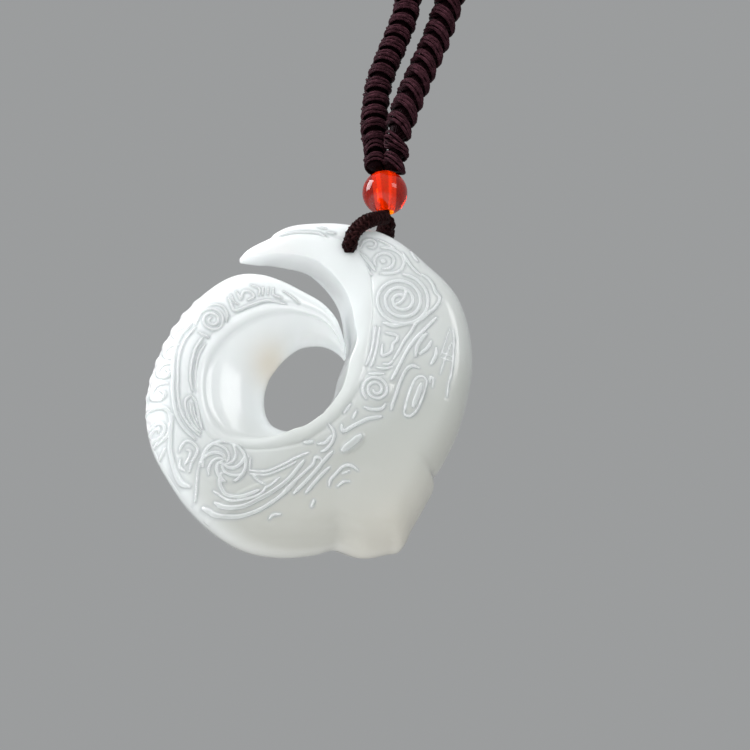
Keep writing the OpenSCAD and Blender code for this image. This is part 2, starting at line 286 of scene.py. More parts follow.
JADE_SHADED = (0.55, 0.568, 0.54)
JADE_MID = (0.77, 0.80, 0.80)
JADE_LIT = (0.93, 0.965, 0.97)
JADE_WARM = (0.80, 0.72, 0.60)
# Painted highlight colour, near white, along the edges of the relief lines
JADE_PAINTED_HIGHLIGHT = (0.95, 0.975, 0.98)
# Painted shade colour in the grooves at the foot of the relief lines
JADE_GROOVE_SHADE = (0.52, 0.55, 0.56)
CLOUD_SHARE = 0.22
PAINTED_HIGHLIGHT_SHARE = 0.85
GROOVE_SHADE_SHARE = 0.5
EDGE_STEP_M = 0.00017


def jade_material():
    """Milky stone with painted light: lighter where it is thin and towards the upper left, warmer by the
    opening, with crisp edges on the relief, a painted highlight along them and painted shade at their feet.
    """
    look = Look("white_jade")
    # Painted light: the attribute lightens the stone where it is thin and towards the upper left and darkens
    # it to the lower right; the noise adds random clouding
    clouded = look.maths("MULTIPLY_ADD", look.noise(95.0, 3.0, 0.55), CLOUD_SHARE, look.attribute("painted_light"))
    tone = look.ramp(clouded, [(0.1, JADE_SHADED), (0.55, JADE_MID), (1.0, JADE_LIT)])
    warm = look.mix(look.attribute("warmth"), tone, JADE_WARM)
    # Distance to the edge of the nearest carved line, in millimetres, negative on the line
    edge = look.attribute("edge")
    # Painted highlight: a thin near-white band of colour just inside the edge of every raised line
    painted_highlight = look.ramp(look.spread(edge, -0.4, 0.4),
                    [(0.0, (0, 0, 0)), (0.34, (0.25, 0.25, 0.25)), (0.47, (1, 1, 1)), (0.6, (0, 0, 0))])
    # Painted shade: greyer colour in the groove just outside every raised line
    groove_shaded = look.mix(look.spread(edge, 0.45, 0.08, 0.0, GROOVE_SHADE_SHARE, smooth=True), warm, JADE_GROOVE_SHADE)
    return look.surface(
        Base_Color=look.mix(look.maths("MULTIPLY", painted_highlight, PAINTED_HIGHLIGHT_SHARE), groove_shaded, JADE_PAINTED_HIGHLIGHT),
        Roughness=look.spread(edge, 0.5, 0.0, 0.13, 0.2, smooth=True),
        Normal=look.bump(look.spread(edge, 0.09, -0.09, smooth=True), 1.0, EDGE_STEP_M),
        IOR=1.61, Subsurface_Weight=0.8, Subsurface_Radius=(1.0, 1.05, 1.0), Subsurface_Scale=0.0008)


AGATE_DEEP = (0.44, 0.008, 0.0004)
AGATE_CLEAR = (0.54, 0.018, 0.0007)
BORE_COLOUR = (1.0, 0.5, 0.08)
# Painted glow: emission on the matt wall of the bead's bore, standing in for the light that it gathers from
# all round the clear stone
BORE_PAINTED_GLOW = (0.7, 0.17, 0.002)
BLACK = (0.0, 0.0, 0.0)


def agate_material():
    look = Look("red_agate")
    tone = look.ramp(look.noise(260.0, 2.0), [(0.3, AGATE_DEEP), (0.7, AGATE_CLEAR)])
    bore = look.attribute("bore")
    # The bore's wall takes its own colour and the painted glow as emission
    return look.surface(
        Base_Color=look.mix(bore, tone, BORE_COLOUR), Transmission_Weight=0.75, Roughness=0.03, IOR=1.54,
        Specular_IOR_Level=0.3, Emission_Color=look.mix(bore, BLACK, BORE_PAINTED_GLOW), Emission_Strength=1.0,
        Subsurface_Weight=0.5, Subsurface_Radius=(1.0, 0.12, 0.03), Subsurface_Scale=0.0025)


# Dark and light colour and the length of one twist of the plies; the dark colour is painted shade in the ply
# grooves and the light one a painted highlight on the ply crests
CORD_THREAD = ((0.0085, 0.0028, 0.0038), (0.098, 0.036, 0.049), 2.2)
FINE_THREAD = ((0.005, 0.0018, 0.002), (0.05, 0.018, 0.018), 1.4)
PLIES = 3
PLY_SHARE = 0.22
PLY_STEP_M = 0.00016
# Share of the dark colour used for the painted shade deep in the knots and on the cores
KNOT_SHADE_SHARE = 0.6


def cord_material(name, dark, light, twist):
    """Waxed thread of twisted plies, drawn by the way along it and round it, with painted shade in the ply
    grooves, deep in the knots and on the cores, and a painted highlight on the ply crests.
    """
    look = Look(name)
    split = look.nodes.new("ShaderNodeSeparateXYZ")
    look.put(look.make("TexCoord", {}, "UV"), split.inputs["Vector"])
    along = look.maths("MULTIPLY", split.outputs["X"], 2 * math.pi / twist)
    wave = look.maths("SINE", look.maths("MULTIPLY_ADD", split.outputs["Y"], 2 * math.pi * PLIES, along))
    height = look.maths("MULTIPLY_ADD", wave, PLY_SHARE, look.noise(1400.0, 3.0, 0.65))
    # Painted shade in the ply grooves and a painted highlight on the ply crests, by the height of the plies
    tone = look.ramp(height, [(0.25, dark), (0.85, light)])
    # Painted shade: points that stand out little, deep in the knots, on each thread's inner side and on the
    # cores, are darker
    lit = look.spread(look.attribute("proud"), 0.25, 1.1, smooth=True)
    return look.surface(
        Base_Color=look.mix(lit, tuple(KNOT_SHADE_SHARE * c for c in dark), tone),
        Normal=look.bump(height, 0.8, PLY_STEP_M), Roughness=0.42, Specular_IOR_Level=0.05,
        Specular_Tint=(0.85, 0.42, 0.52))


def floor_material():
    look = Look("pale_floor")
    return look.surface(Base_Color=look.ramp(look.noise(4.0, 2.0), [(0.0, FLOOR_SHADE), (1.0, FLOOR_COLOUR)]),
                        Roughness=0.9)


# Necklace cords, along the routes of the part's own solids
CORD_D = 4.5
SLEEVE_L = 16.0
SLEEVE_D = 5.8
NAPE_END = SLEEVE_L / 2 + 0.1


def neck_arc(side):
    """The last places of a route, over the shoulder and behind the neck, the same on both sides."""
    return [[side * x, 0, z, 1] for x, z in (
        (73.5, -64), (74.5, -51), (73, -38), (68.5, -26), (61.5, -15.5), (51.5, -7), (40, -1.5), (27.5, 1.5),
        (17.5, 2.7), (NAPE_END, SLEEVE_D / 2))]


# Columns are the place and the radius as a share of the cord's
LEFT_ROUTE = [
    [-1.1, 0.35, -225.85, 0.51], [-1.2, 0.7, -224.5, 0.59], [-1.4, 1.1, -223, 0.71],
    [-1.5, 1.9, -221.5, 0.89], [-2, 2.1, -219.1, 1], [-2.4, 1.9, -215.4, 1], [-2.5, 1.4, -212.3, 1],
    [-2, 1, -209, 1], [-1.3, 0.7, -205.6, 1], [-0.5, 0.5, -200.1, 1], [-1.6, 0.2, -190, 1],
    [-5, 0, -178, 1], [-10.8, 0, -166.5, 1], [-18.5, 0, -155.5, 1], [-27, 0, -145, 1],
    [-36.3, 0, -134.5, 1], [-45, 0, -124, 1], [-53, 0, -113, 1], [-60, 0, -101.5, 1],
    [-66, 0, -89.5, 1], [-70.5, 0, -77, 1], *neck_arc(-1),
]
RIGHT_ROUTE = [
    [1.35, -0.35, -225.85, 0.51], [1.3, -0.7, -224.5, 0.59], [1.3, -1.1, -223, 0.71],
    [0.9, -1.9, -221.4, 0.89], [1.1, -2.1, -218.7, 1], [1.8, -1.9, -214.8, 1], [2.6, -1.4, -211.5, 1],
    [3.4, -1, -208.1, 1], [4.2, -0.7, -204.8, 1], [5.2, -0.5, -198.9, 1], [6.6, -0.2, -189, 1],
    [9.8, 0, -177.5, 1], [15, 0, -166.5, 1], [22, 0, -155.5, 1], [30, 0, -145, 1],
    [38.3, 0, -134.5, 1], [46.5, 0, -124, 1], [54, 0, -113, 1], [61, 0, -101.5, 1],
    [66.5, 0, -89.5, 1], [71, 0, -77, 1], *neck_arc(1),
]
FRONT = np.array([0, -1.0, 0])
CORD_STEP = 0.5
CORE_EVERY = 4
CORE_SIDES = 10
# The core is a share of the cord's thickness, and more at the bead's mouth
CORE_SHARE = 0.6
CORE_END_MORE = 0.5
CORE_END_L = 3
BRAID_SIDES = 6
WRAP_POINTS = 20
WRAP_SIDES = 5
WRAP_THREADS = 3
# Stray of each thread, in millimetres, and how much of it goes into its place and its radius
STRAY = 0.05
STRAY_PLACE = 0.6
STRAY_RADIUS = 0.4
# Threads lie closer at the back of a wrap than where it stands out
LANE_BACK = 0.22
LEAST_SHARE = 0.84


def strand_axes(path):
    """Directions across a route, to its front and to its side."""
    along = unit(np.gradient(path[:, :3], axis=0))
    front = unit(FRONT - (along @ FRONT)[:, None] * along)
    return front, np.cross(front, along)


def wraps(path, run, bundles):
    """Bundles of thread laid round the route, each as a leaning ring that stands out on one side."""
    front, side = strand_axes(path)
    lines, outs, sizes, heights = [], [], [], []
    for b in bundles:
        turn = b["out_at"] + math.pi + full_turn(WRAP_POINTS)
        proud = np.cos(turn - b["out_at"])
        for k in range(WRAP_THREADS):
            place = k - (WRAP_THREADS - 1) / 2
            stray = rng.normal(0, STRAY, 3)
            lane = place * b["lane"] * (1 - LANE_BACK + LANE_BACK * proud)
            s = b["at"] + lane + (b["lean"] + stray[0]) * np.cos(turn - b["peak"]) + STRAY_PLACE * stray[2]
            s = np.clip(s, run[0], run[-1])
            share = np.maximum(np.interp(s, run, path[:, 3]), LEAST_SHARE)
            bow = b["bow"] * place * place
            r = share * (b["radius"] + b["proud"] * proud - bow + STRAY_RADIUS * stray[1])
            at = [np.stack([np.interp(s, run, field[:, c]) for c in range(3)], 1)
                  for field in (path[:, :3], front, side)]
            out = np.cos(turn)[:, None] * at[1] + np.sin(turn)[:, None] * at[2]
            lines.append(at[0] + r[:, None] * out)
            outs.append(out)
            sizes.append(share * b["thread"])
            heights.append((r / share - b["radius"] + b["proud"] + b["bow"]) / (2 * b["proud"] + b["bow"]))
    # Each thread's outward side gets a higher value than its inward side, so the cord's material paints shade
    # on the inward side
    proud = np.array(heights)[..., None] + 0.25 * np.cos(full_turn(WRAP_SIDES))
    return *tubes(np.array(lines), np.array(sizes), np.array(outs), WRAP_SIDES, closed=True), proud.ravel()


def strand_bundles(length, style):
    """The knots of a strand one after another: a wrap that stands out to one side, then one to the other."""
    count = int(length / style["pitch"])
    pitch = length / count
    return [dict(style, at=(k + 0.3 + 0.5 * half) * pitch, lean=style["lean"] * (1 if half == 0 else 0.8),
                 peak=style["peak"] + math.pi * half, out_at=style["out_at"] + math.pi * half)
            for k in range(count) for half in (0, 1)]


LEFT_STYLE = dict(pitch=2.08, lean=0.75, peak=0.0, out_at=0.0, radius=1.74, proud=0.33, bow=0.15,
                  thread=0.25, lane=0.46)
RIGHT_STYLE = dict(pitch=2.7, lean=1.2, peak=1.2, out_at=-0.15, radius=1.84, proud=0.32, bow=0.14,
                   thread=0.275, lane=0.56)


def knotted_cord(name, route, style, cad_node, material):
    """One half of the necklace: a core and the wraps round it."""
    path, run = smooth_path(route, CORD_STEP)
    core_path = path[::CORE_EVERY]
    thick = CORE_SHARE + CORE_END_MORE * smoothstep(CORE_END_L, 0, run[::CORE_EVERY])
    core_r = (thick * core_path[:, 3] * CORD_D / 2)[None]
    core = tubes(*capped(core_path[None, :, :3], core_r), FRONT, CORE_SIDES)
    thing = add_mesh(name, *join_parts([(*core, 0.0), wraps(path, run, strand_bundles(run[-1], style))]))
    dress(thing, "root", "knotted_cord", material, cad_node)


WINDING_R = 0.32
WINDING_PITCH = 2 * WINDING_R * 1.02
WINDING_STEPS = 24
SLEEVE_POINTS = 9
SLEEVE_SIDES = 20
PROUD = 0.8


def nape_binding(material):
    """Thread wound closely round the hidden joint of the two cord halves."""
    turns = int((SLEEVE_L - 2 * WINDING_R) / WINDING_PITCH)
    turn = np.arange(turns * WINDING_STEPS + 1) * 2 * math.pi / WINDING_STEPS
    along = np.linspace(-SLEEVE_L / 2 + WINDING_R, SLEEVE_L / 2 - WINDING_R, len(turn))
    r = SLEEVE_D / 2 - WINDING_R
    out = np.stack([0 * turn, np.cos(turn), np.sin(turn)], 1)
    axis = np.array([0, 0, SLEEVE_D / 2])
    line = np.stack([along, r * out[:, 1], r * out[:, 2]], 1) + axis
    wound = tubes(*capped(line[None], np.full((1, len(turn)), WINDING_R)),
                  np.vstack([out[:1], out, out[-1:]])[None], BRAID_SIDES)
    ends = np.array([[-SLEEVE_L / 2 + 0.1, 0, 0], [SLEEVE_L / 2 - 0.1, 0, 0]]) + axis
    core_line = np.linspace(ends[0], ends[1], SLEEVE_POINTS)[None]
    core = tubes(*capped(core_line, np.full((1, SLEEVE_POINTS), r)), np.array([0, 0, 1.0]), SLEEVE_SIDES)
    thing = add_mesh("nape_winding", *join_parts([(*wound, PROUD), (*core, 0.0)]))
    return dress(thing, "root", "binding", material, "nape_binding")


# Jade carving

REACH = 25.0
THICK = 11.6
OPENING = np.array([-0.064, -0.868]) * REACH
THREAD_HOLE_R = 1.5
# Rows of the part's own sections: direction, outer edge, inner edge, lip, peak of the inner slope, start of
# the carved field, face and rounding, in thousandths of the reach, but of the thickness for the face
ANG, OUT, FIELD, FACE = 0, 1, 5, 6
SECTIONS = np.array([
    [125.5, 870, 850, 854, 854, 860, 65, 8],
    [122.5, 894, 836, 848, 848, 860, 155, 28],
    [118, 912, 818, 830, 830, 868, 215, 40],
    [113.4, 928, 808, 820, 820, 888, 250, 36],
    [112, 950, 804, 816, 816, 894, 260, 52],
    [106.5, 988, 788, 800, 800, 912, 285, 72],
    [98, 1016, 762, 774, 774, 912, 300, 96],
    [90, 1044, 702, 714, 714, 896, 310, 120],
    [82, 1064, 630, 642, 642, 860, 325, 128],
    [76, 1076, 562, 574, 574, 790, 350, 136],
    [69, 1072, 480, 492, 492, 650, 390, 144],
    [60, 1060, 404, 416, 416, 518, 425, 152],
    [52, 1066, 310, 322, 322, 432, 450, 160],
    [45, 1060, 260, 272, 272, 380, 465, 160],
    [28, 990, 204, 216, 216, 304, 490, 168],
    [8, 904, 168, 180, 180, 248, 500, 176],
    [-8, 864, 150, 162, 162, 224, 500, 184],
    [-17, 850, 146, 158, 158, 218, 495, 188],
    [-20, 836, 145, 157, 157, 216, 495, 176],
    [-23.5, 880, 145, 157, 157, 216, 493, 208],
    [-30, 902, 145, 157, 157, 216, 488, 204],
    [-39, 946, 147, 159, 159, 217, 481, 208],
    [-46, 1004, 152, 164, 164, 220, 477, 208],
    [-50, 986, 156, 168, 168, 224, 477, 204],
    [-58, 952, 162, 174, 174, 232, 481, 200],
    [-66, 874, 170, 184, 186, 246, 488, 196],
    [-73, 886, 178, 196, 212, 264, 495, 196],
    [-87, 916, 202, 232, 310, 310, 500, 196],
    [-99, 932, 220, 268, 440, 352, 500, 196],
    [-112, 918, 236, 352, 560, 424, 500, 192],
    [-124, 900, 246, 448, 600, 512, 495, 184],
    [-135, 886, 240, 532, 604, 596, 490, 176],
    [-148, 886, 228, 564, 610, 620, 480, 168],
    [-163, 868, 216, 566, 608, 622, 470, 168],
    [-180, 828, 208, 554, 594, 610, 455, 160],
    [-195, 808, 208, 528, 566, 582, 440, 156],
    [-212, 794, 212, 494, 530, 548, 420, 156],
    [-228, 782, 228, 472, 504, 522, 395, 156],
    [-238, 738, 244, 460, 490, 506, 370, 148],
    [-247, 676, 264, 452, 476, 488, 340, 132],
    [-257, 612, 288, 444, 460, 468, 300, 116],
    [-270, 556, 312, 432, 442, 448, 250, 100],
    [-280, 500, 328, 408, 414, 418, 200, 76],
    [-289, 436, 334, 376, 380, 384, 145, 50],
    [-298, 380, 332, 352, 354, 356, 85, 22],
    [-304, 338, 326, 331, 332, 333, 25, 4],
])
SECTIONS[:, 1:] /= 1000
WALL_SHARE = 0.93
SHOULDER_POWER = 2.3


def columns_at(angle):
    """Section columns for an array of directions, a smooth curve through the rows."""
    s, n = SECTIONS, len(SECTIONS)
    i = np.clip(np.searchsorted(-s[:, ANG], -angle, side="right") - 1, 0, n - 2)
    lo, hi = np.maximum(np.arange(n) - 1, 0), np.minimum(np.arange(n) + 1, n - 1)
    slope = (s[hi] - s[lo]) / (s[hi, ANG] - s[lo, ANG])[:, None]
    span = (s[i + 1, ANG] - s[i, ANG])[:, None]
    return cubic(s, slope, i, (angle[:, None] - s[i, ANG][:, None]) / span, span)


# First and last direction and step of the rings, close together where the relief is
RINGS = [(125.5, 98, 1.1), (98, -250, 0.56), (-250, -304, 1.2)]
SLOPE_STEPS = 16
BORDER_STEPS = 9
FIELD_STEPS = 100
FLAT_POINTS = 60
SHOULDER_POINTS = 90
BACK_STEPS = 9
WALL_STEPS = 5


def ring_directions():
    return np.concatenate([np.arange(a, b, -step) for a, b, step in RINGS] + [[float(RINGS[-1][1])]])


def front_rows(s):
    """Radius and height over the middle plane across the front of every section."""
    _, out, hole, lip, peak, field, face, rounded = (column[:, None] for column in s.T)
    run = peak - hole
    top = np.arccos(np.clip((peak - lip) / run, -1, 1))
    t = (np.arange(SLOPE_STEPS) / SLOPE_STEPS)[None, :]
    slope = [peak - run * np.cos(top * t), face * WALL_SHARE * np.sin(top * t)]
    t = (np.arange(BORDER_STEPS) / BORDER_STEPS)[None, :]
    rise = WALL_SHARE + (1 - WALL_SHARE) * np.sin(math.pi / 2 * t)
    border = [lip + (field - lip) * t, face * rise]
    start = np.maximum(out - rounded, field)
    t = np.linspace(0, 1, FLAT_POINTS)[None, :-1]
    flat = [field + (start - field) * t, face + 0 * t]
    t = np.sin(np.linspace(0, math.pi / 2, SHOULDER_POINTS))[None, :]
    fall = np.maximum(0, 1 - t ** SHOULDER_POWER) ** (1 / SHOULDER_POWER)
    shoulder = [start + (out - start) * t, face * fall]
    outer = even_rows(np.concatenate([flat[0], shoulder[0]], 1) * REACH,
                      np.concatenate([flat[1], shoulder[1]], 1) * THICK, FIELD_STEPS + 1)
    radius = np.concatenate([slope[0] * REACH, border[0] * REACH, outer[0]], 1)
    height = np.concatenate([slope[1] * THICK, border[1] * THICK, outer[1]], 1)
    return radius, height


def even_rows(radius, height, count):
    """Each row of a profile drawn again with evenly spaced points."""
    step = np.hypot(np.diff(radius, axis=1), np.diff(height, axis=1))
    run = np.concatenate([np.zeros((len(radius), 1)), np.cumsum(step, 1)], 1)
    even = [np.linspace(0, along[-1], count) for along in run]
    return [np.array([np.interp(*one) for one in zip(even, run, field)]) for field in (radius, height)]


def smoothstep(low, high, x):
    t = np.clip((x - low) / (high - low), 0, 1)
    return t * t * (3 - 2 * t)


def arc(middle, r, angle):
    """Places round a middle as plain numbers, x then z of each."""
    return np.stack([middle[0] + r * np.cos(angle), middle[1] + r * np.sin(angle)], 1).ravel()


SPIRAL_POINTS = 22


def spiral(x, z, inner, outer, turns, start):
    """Points of a spiral line from its middle outwards, anticlockwise as its turns grow."""
    t = np.linspace(0, 1, int(SPIRAL_POINTS * turns) + 2)
    angle = np.radians(start) + 2 * math.pi * turns * t
    r = inner + (outer - inner) * t
    return arc((x, z), r, angle)


# Raised lines of the relief from the middle of the opening: half width, then x and z of each place
LINES = [
    # Big spiral and the tail that sweeps round it
    [0.27, *spiral(10.05, 15.5, 0.75, 4, 3.1, 60)],
    [0.24, 10.3, 17.2, 10.5, 16.5, 10.3, 15.7, 9.9, 15.1, 9.4, 14.8],
    [0.26, 8.3, 11.65, 9.8, 11.5, 11.3, 12.2, 12.5, 12.9, 13.9, 14.25, 15, 15.9, 15.25, 17.3, 14.5, 18,
     13.95, 19, 13.1, 19.8, 12.25, 20.1],
    # Upper meander
    [0.36, 6.5, 20.85, 6.72, 20.9],
    [0.24, 5.8, 20, 5.35, 20.8, 5.8, 21.75, 6.75, 22.15, 7.7, 21.85, 8.1, 21, 7.7, 20.1, 6.8, 19.7],
    [0.26, 6, 22.85, 7.3, 23.05, 8.75, 22.5, 9.45, 21.4, 9.2, 20.1, 8.1, 19.3, 6.5, 18.95],
    [0.2, 3.2, 22.4, 3.55, 23.4, 4.5, 23.8, 5.2, 23.35, 5, 22.65, 4.25, 22.55],
    [0.26, 2.75, 20.9, 3.65, 20.15, 4.6, 19.3, 5.4, 18.6],
    [0.26, 3.4, 21.5, 4.3, 20.75, 5.1, 20, 5.7, 19.3],
    [0.24, 9.1, 22.8, 9.9, 21.7, 10.9, 20.7, 12, 20],
    [0.16, 5.3, 24, 6.5, 23.75, 7.8, 23.3],
    [0.3, 10.3, 23.6, 10.7, 22.9, 11.3, 22.2],
    # Swooshes to the right of the band
    [0.26, 15.3, 14.2, 14.05, 12.15, 12.75, 9.9, 12.07, 8.1, 11.6, 6.3, 11.05, 4.3, 10.8, 3.6],
    [0.22, 13.9, 14, 12.75, 12.7, 12.2, 11.25, 11.5, 9.7, 11.2, 8.6, 10.9, 7.6, 10.6, 6.7],
    [0.26, 14.2, 6.3, 13.4, 6.4, 12.8, 5.9, 12.35, 4.9, 12.05, 3.5, 11.85, 1.85, 11.65, 0.4, 11.6, -0.6],
    [0.3, 14.4, 11.5, 13.7, 10.2, 13.4, 9.2, 13.5, 7.85],
    [0.3, 15.2, 10.6, 14.9, 9.5, 14, 8.35],
    [0.3, 16.1, 9.8, 16.2, 8.6, 15.8, 7.25],
    # C-shaped meander
    [0.22, 8.7, 8.5, 8.9, 6.9, 9.5, 7.1, 10.1, 7.8, 10.1, 8.9, 10.5, 9.5, 10.5, 10.2, 8.8, 10.3],
    [0.2, 7.9, 10.9, 8, 7.9, 7.9, 5.75, 7.7, 4.85],
    [0.2, 7.3, 10.9, 7.4, 7.9, 7.2, 5.75, 7, 4.9],
    [0.2, 9.35, 5.6, 10.1, 5.8, 10.5, 6.4],
    [0.2, 8.5, 4.9, 9.6, 5, 10.6, 5.5],
    [0.24, 7.6, 3.7, 9.6, 4.2],
    # Small spiral and the leaf under it
    [0.22, *spiral(9, 1.7, 0.45, 1.95, 2.1, 200)],
    [0.24, 10.7, 0, 10.3, -0.8, 9, -1.25, 8, -1.2],
    # Thin lines at the right
    [0.09, 17.4, 13.1, 17.1, 10.5, 16.85, 8.9],
    [0.13, 17.9, 13, 18.3, 11.7, 18.5, 10.2, 18.7, 8.5, 18.8, 6.6, 18.7, 5.2, 18.8, 3.2],
    [0.1, 18, 11.1, 17.6, 8.8, 17.3, 6.2],
    [0.07, 17, 9.3, 18.4, 9.1],
    [0.07, 17, 8.6, 18.4, 8.4],
    # Raised tongue and its hook
    [0.16, 13.4, -0.5, 13.45, 1.3, 13.75, 3.6, 14.2, 4.8, 14.95, 5.2, 15.65, 4.7, 15.65, 3, 15.4, 1.5,
     15.05, 0.1, 14.3, -0.9, 13.6, -0.9, 13.4, -0.5],
    [0.42, 14.95, 4, 14.8, 2.6, 14.45, 0.6],
    [0.14, 16.1, 4.6, 16.1, 5.5, 16.5, 5.2, 16.6, 4],
    # Below the opening
    [0.28, 10.5, -1.9, 8.7, -2.7, 7.8, -3.4, 7, -4.1, 5.75, -5.2, 5.4, -4.4],
    [0.2, 7, -1.9, 6.7, -3.1],
    [0.2, 6, -1.2, 5.4, -2.6],
    [0.24, 3.7, -4.7, 4.4, -5.4, 4.7, -6.2, 4.6, -7.1, 4, -8.3, 3.4, -8.8],
    [0.22, 4.3, -6.2, 3.7, -7.4, 2.7, -7.9],
    [0.55, 6.2, -7.9, 7.3, -6.55, 8.2, -5.3],
    [0.22, 8.8, -10.1, 7.9, -9.7, 7.15, -9.8, 6.5, -10.4, 5.9, -11.5, 5.4, -12.4, 5.4, -13.3],
    [0.16, 7.7, -10.5, 6.8, -11.1],
    [0.18, 8, -11.95, 7.2, -12.2, 6.8, -12.7, 6.5, -13.1],
    [0.35, 0.9, -8.1, 1.9, -7.8],
    # Streaks
    [0.28, 4.9, -8.4, 4, -10, 3.1, -11.8, 2, -13.75, 0.9, -15.5],
    [0.28, 4.9, -10.7, 3.9, -12.3, 2.5, -15],
    [0.22, 3.75, -9.95, 3.1, -9.7, 2.75, -9.9, 2.7, -10.7, 2.1, -11.7, 0.85, -13.55, -0.55, -15.6],
    [0.22, 3.75, -15.9, 3.65, -16.7],
    [0.2, -1.6, -19.8, -1.3, -19.2, -0.3, -18.8],
    # Long feathers
    [0.3, -9.1, -19.1, -8, -19.4, -6.6, -19.3, -5.2, -18.8, -3.7, -17.6, -1.9, -15.9, -0.3, -13.9, 1.3,
     -10.7],
    [0.28, -10.4, -19.7, -8.3, -20.4, -6.35, -20.4, -4.95, -20, -3.2, -18.9, -1.6, -17.3, 0, -15.2, 0.9,
     -13.6],
    [0.16, -5.5, -13.85, -3.4, -13.4, -1.2, -11.8, 0, -10.7, 1.7, -9.4],
    [0.14, -5.4, -14.3, -3.3, -13.9, -1, -12.3, 0.3, -11.1],
    [0.18, -5.8, -12.1, -5.6, -13.8],
    [0.26, -9.2, -15.2, -9.2, -16.4, -8.5, -17.5, -7.8, -17.9, -6.2, -17.8, -4.8, -17, -3.85, -16.3],
    [0.15, -9.7, -17.7, -7.7, -18.5, -6.3, -18.35, -4.5, -17.5, -3.25, -16.4, -3, -15.7, -2.4, -15.2,
     -1.5, -13.9],
    [0.18, -3.2, -15.3, -4.2, -14.95, -5.1, -14.3],
    # Line beside the whirl
    [0.15, -12.15, -13.2, -12.35, -14.4, -12.3, -15.6, -12.1, -16.8, -11.6, -19],
    # Lower left meander
    [0.2, -15.3, -13.3, -15.2, -12.65, -14.9, -12, -14.35, -11.75, -13.57, -12.05, -13.1, -12.45, -12.95,
     -12.9, -13.15, -13.8, -13.4, -14.65, -13.4, -15.7],
    [0.2, -14.4, -13, -13.9, -13.05, -13.85, -13.9, -14.2, -14.9],
    [0.2, -14.9, -14.3, -14.7, -15.2, -14, -15.6],
    [0.28, -17.35, -8.6, -17.15, -10.3, -16.9, -11.6, -16.6, -12.9, -16.1, -14, -15.5, -15, -14.7,
     -16.1, -13.8, -17, -12.8, -17.4],
    [0.2, -17.2, -13, -17.4, -13.8],
    # Streaks of the left band
    [0.26, -17.5, 4.9, -18.6, 2.7, -18.85, 0.1, -18.4, -3.1, -17.75, -6.2, -16.8, -8.5, -15.35, -10.2,
     -13.6, -11.3],
    [0.2, -16.9, 4.4, -17.9, 2.2, -18.15, -0.4, -17.7, -3.3, -17.1, -6, -16.15, -8.1, -14.8, -9.6, -13.1,
     -10.7],
    [0.2, -15.6, 3.2, -16.2, 1.4, -16.3, -0.9, -16, -3, -15.4, -4.6],
    [0.18, -15.1, 2.4, -15.55, 0.8, -15.6, -1.2, -15.3, -3.1, -14.8, -4.7],
    [0.2, -15.4, -5.3, -16, -6.1, -15.85, -7.2, -15.05, -8.6, -14.1, -9.6, -13.1, -10.2],
    [0.2, -15.4, -5.3, -14.75, -5.9, -14.2, -7.1, -13.6, -8.5, -13, -9.6],
    [0.14, -15.35, -6.5, -15, -7.6, -14.3, -8.7, -13.5, -9.6],
    [0.12, -14.95, -6.4, -14.5, -7.6, -13.9, -8.7],
    # Left spiral and the band over it
    [0.2, *spiral(-14.85, 6, 0.35, 1.85, 2.2, 120)],
    [0.2, -16.9, 5, -16.6, 6.6, -15.9, 7.9, -14.8, 8.5, -13.7, 8.3, -12.95, 7.4, -12.9, 6.4],
    [0.22, -16.2, 3.8, -15.4, 3.6, -14.8, 3.5],
    [0.22, -13.3, 9.8, -12.75, 9.1, -12.2, 8.3, -11.5, 8.6, -10.6, 9.3, -9.5, 10.1, -8.3, 10.9, -6.8, 11.3,
     -5.4, 11.3],
    [0.17, -13, 10.4, -12.45, 9.5, -11.9, 9.3],
    [0.2, -12.4, 11.1, -11.6, 10.2, -11.5, 11.3, -10.6, 11.6, -9.9, 11, -10.6, 10.3],
    [0.2, -10.6, 12.6, -9.4, 12.4, -9.3, 11.4],
    [0.17, -8.9, 12.7, -8.8, 11.6],
    [0.17, -8.2, 12.9, -8.1, 11.9],
    [0.18, -7.5, 13, -7.3, 12.1, -6.2, 12],
    [0.14, -6, 13, -4.7, 12.6, -3.6, 12.1],
    # Curls along the left edge
    [0.22, -18.2, 4.3, -19, 4, -19.4, 3.2, -18.9, 2.5, -18.4, 2.8],
    [0.24, -18.5, 1.6, -19.5, 1.4, -20.1, 0.5, -19.7, -0.4, -19, -0.5, -18.8, 0.2, -19.3, 0.6],
    [0.24, -18.9, -1.3, -19.9, -1.5, -20.4, -2.4, -20, -3.3, -19.2, -3.4, -18.9, -2.7, -19.5, -2.3],
    [0.24, -18.9, -4.3, -20, -4.5, -20.5, -5.5, -20.1, -6.5, -19.2, -6.6, -18.9, -5.8, -19.6, -5.3],
    [0.3, -20.3, -7.9, -19.2, -7.7, -18.3, -7.9, -17.7, -8.5, -17.4, -9.5],
    [0.24, *spiral(-18.75, -10.9, 0.3, 1.6, 2.1, 0)],
    [0.22, -19.1, -13, -18.2, -13.3],
    [0.22, -18.5, -14.3, -17.7, -14.6],
    # Beak
    [0.2, -8, 21.5, -7, 21.95, -6, 22.35, -4.9, 22.6, -3.8, 22.85, -2.6, 22.9, -1.6, 22.5],
    [0.2, -5.6, 21.45, -4.5, 21.6, -3.4, 21.65, -2.1, 21.6, -1, 21.5],
    [0.2, -3.2, 23.9, -2.1, 23.9],
    [0.2, -1.7, 23.4, -0.7, 23.5],
]
# Whirl: curved blades from its middle to a ring that is open below
WHIRL = (-9.15, -13.55)
WHIRL_R = 2.95
WHIRL_HUB = 0.35
BLADES = 7
BLADE_PITCH = 51.4
BLADE_START = 25
BLADE_SWEEP = 105
BLADE_HALVES = (0.2, 0.26)


